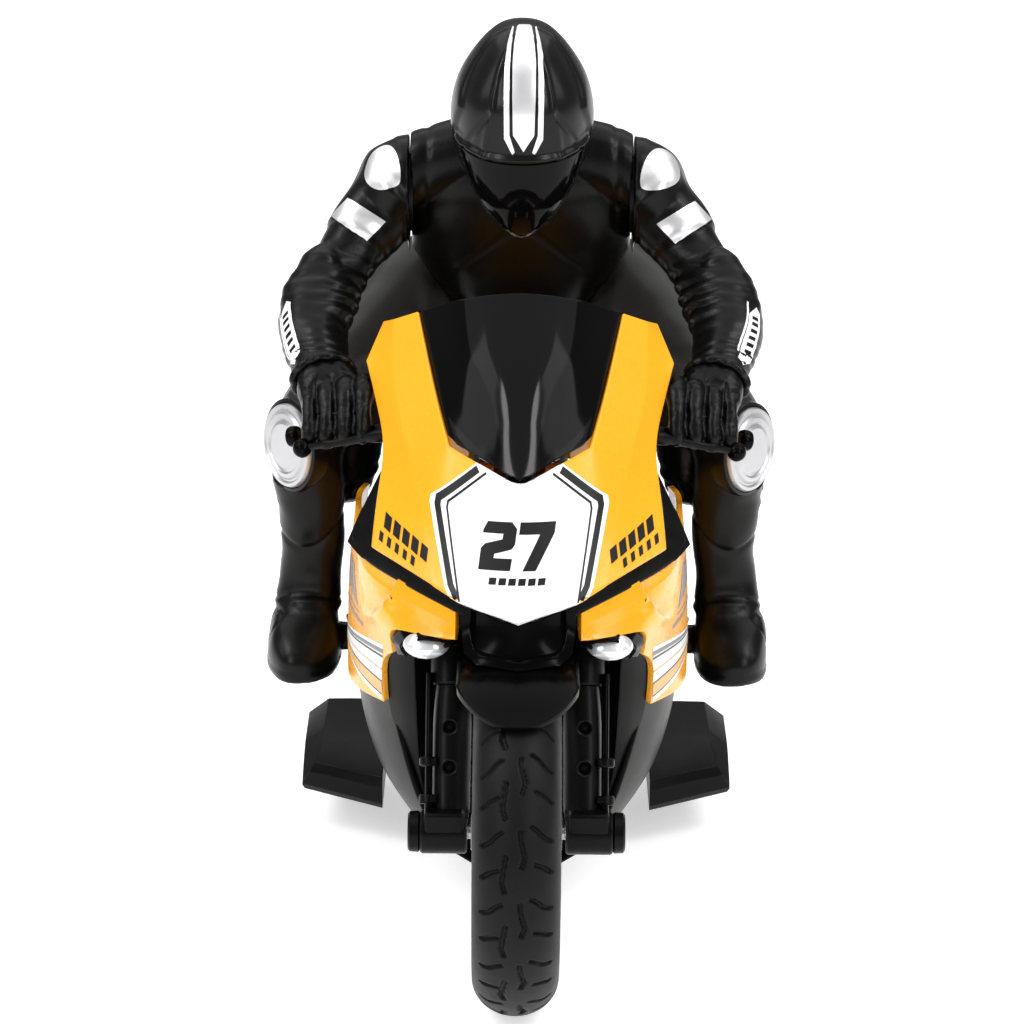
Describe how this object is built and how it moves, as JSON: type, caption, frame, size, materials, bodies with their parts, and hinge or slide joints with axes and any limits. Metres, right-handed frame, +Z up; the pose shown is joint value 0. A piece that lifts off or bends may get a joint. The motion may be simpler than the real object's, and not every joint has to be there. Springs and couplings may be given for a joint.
{
  "type": "rc motorcycle",
  "caption": "Radio-controlled toy racing motorcycle with a crouching rider, steering fork, geared rear drive and side stabilisers.",
  "frame": {"origin": "on the ground, midway between the two wheels, in the bike's centre plane", "axes": "-Y the way the bike drives, +Z up, +X the rider's left"},
  "size_m": [0.1166, 0.256, 0.1924],
  "materials": {
    "yellow_plastic": "glossy",
    "gloss_black_plastic": "glossy",
    "black_plastic": "satin",
    "suit_black": "satin",
    "silver_paint": "silver painted",
    "tyre_rubber": "matte",
    "steel": "turned",
    "smoked_screen": "polished, dark smoked",
    "tail_lens_red": "glossy",
    "gear_nylon": "moulded",
    "circuit_board_green": "solder mask",
    "battery_wrap": "shrink wrap",
    "copper_winding": "enamelled wire"
  },
  "bodies": {
    "frame": {"battery": "battery_wrap", "battery_door": "black_plastic", "belly_pan": "gloss_black_plastic", "chassis": "black_plastic", "circuit_board": "circuit_board_green", "door_screw": "steel", "drive_motor": "steel", "front_fairing": "yellow_plastic", "gear_case": "black_plastic", "gear_case_cover": "black_plastic", "handlebar_left": "black_plastic", "handlebar_right": "black_plastic", "headlight_left": "silver_paint", "headlight_right": "silver_paint", "helmet": "gloss_black_plastic", "inner_cowl": "black_plastic", "knee_slider_left": "silver_paint", "knee_slider_right": "silver_paint", "leg_left": "suit_black", "leg_right": "suit_black", "nose_intake": "gloss_black_plastic", "radiator": "black_plastic", "rider_hips": "suit_black", "rider_torso": "suit_black", "seat": "black_plastic", "side_cover_left": "black_plastic", "side_cover_right": "black_plastic", "side_fairing_left": "yellow_plastic", "side_fairing_right": "yellow_plastic", "steering_coil": "copper_winding", "steering_head": "black_plastic", "swingarm": "black_plastic", "tail_cowl": "yellow_plastic", "tail_light": "tail_lens_red", "tank_cover": "yellow_plastic", "visor": "smoked_screen", "windshield": "smoked_screen", "wing_left": "black_plastic", "wing_right": "black_plastic"},
    "fork": {"fork_yoke": "black_plastic", "fork_leg_left": "black_plastic", "fork_leg_right": "black_plastic", "fork_rod_left": "steel", "fork_rod_right": "steel", "front_axle": "steel", "front_fender": "gloss_black_plastic", "steering_magnet": "steel"},
    "front_wheel": {"front_tyre": "tyre_rubber", "front_rim": "silver_paint"},
    "rear_wheel": {"rear_tyre": "tyre_rubber", "rear_rim": "silver_paint", "rear_axle": "steel", "rear_gear": "gear_nylon"},
    "idler": {"idler_gear": "gear_nylon"},
    "motor_shaft": {"motor_pinion": "steel"},
    "roller_left": {"roller_left": "tyre_rubber"},
    "roller_right": {"roller_right": "tyre_rubber"},
    "arm_left": {"arm_left": "suit_black"},
    "arm_right": {"arm_right": "suit_black"},
    "switch": {"power_switch": "black_plastic"}
  },
  "joints": [
    {"name": "steering", "type": "hinge", "parent": "frame", "child": "fork", "pos_m": [0, -0.0592, 0.08997], "axis": [0, 0.4067, 0.9135], "range_deg": [-15, 15], "stiffness_Nm_per_rad": 0.02},
    {"name": "front_wheel_spin", "type": "hinge", "parent": "fork", "child": "front_wheel", "pos_m": [0, -0.09, 0.038], "axis": [1, 0, 0], "continuous": true},
    {"name": "rear_wheel_spin", "type": "hinge", "parent": "frame", "child": "rear_wheel", "pos_m": [0, 0.09, 0.038], "axis": [1, 0, 0], "continuous": true},
    {"name": "idler_spin", "type": "hinge", "parent": "frame", "child": "idler", "pos_m": [0.0165, 0.06212, 0.04392], "axis": [1, 0, 0], "continuous": true},
    {"name": "motor_spin", "type": "hinge", "parent": "frame", "child": "motor_shaft", "pos_m": [0.0165, 0.04598, 0.04736], "axis": [1, 0, 0], "continuous": true},
    {"name": "roller_left_spin", "type": "hinge", "parent": "frame", "child": "roller_left", "pos_m": [0.041, 0.026, 0.006], "axis": [1, 0, 0], "continuous": true},
    {"name": "roller_right_spin", "type": "hinge", "parent": "frame", "child": "roller_right", "pos_m": [-0.041, 0.026, 0.006], "axis": [1, 0, 0], "continuous": true},
    {"name": "arm_left_swing", "type": "hinge", "parent": "frame", "child": "arm_left", "pos_m": [0.025, 0.015, 0.151], "axis": [-1, 0, 0], "range_deg": [0, 70]},
    {"name": "arm_right_swing", "type": "hinge", "parent": "frame", "child": "arm_right", "pos_m": [-0.025, 0.015, 0.151], "axis": [-1, 0, 0], "range_deg": [0, 70]},
    {"name": "switch_slide", "type": "slide", "parent": "frame", "child": "switch", "axis": [1, 0, 0], "range_m": [0, 0.003]}
  ],
  "couplings": [
    {"joint": "idler_spin", "follows": "rear_wheel_spin", "ratio": -1.1111},
    {"joint": "motor_spin", "follows": "rear_wheel_spin", "ratio": 5}
  ]
}
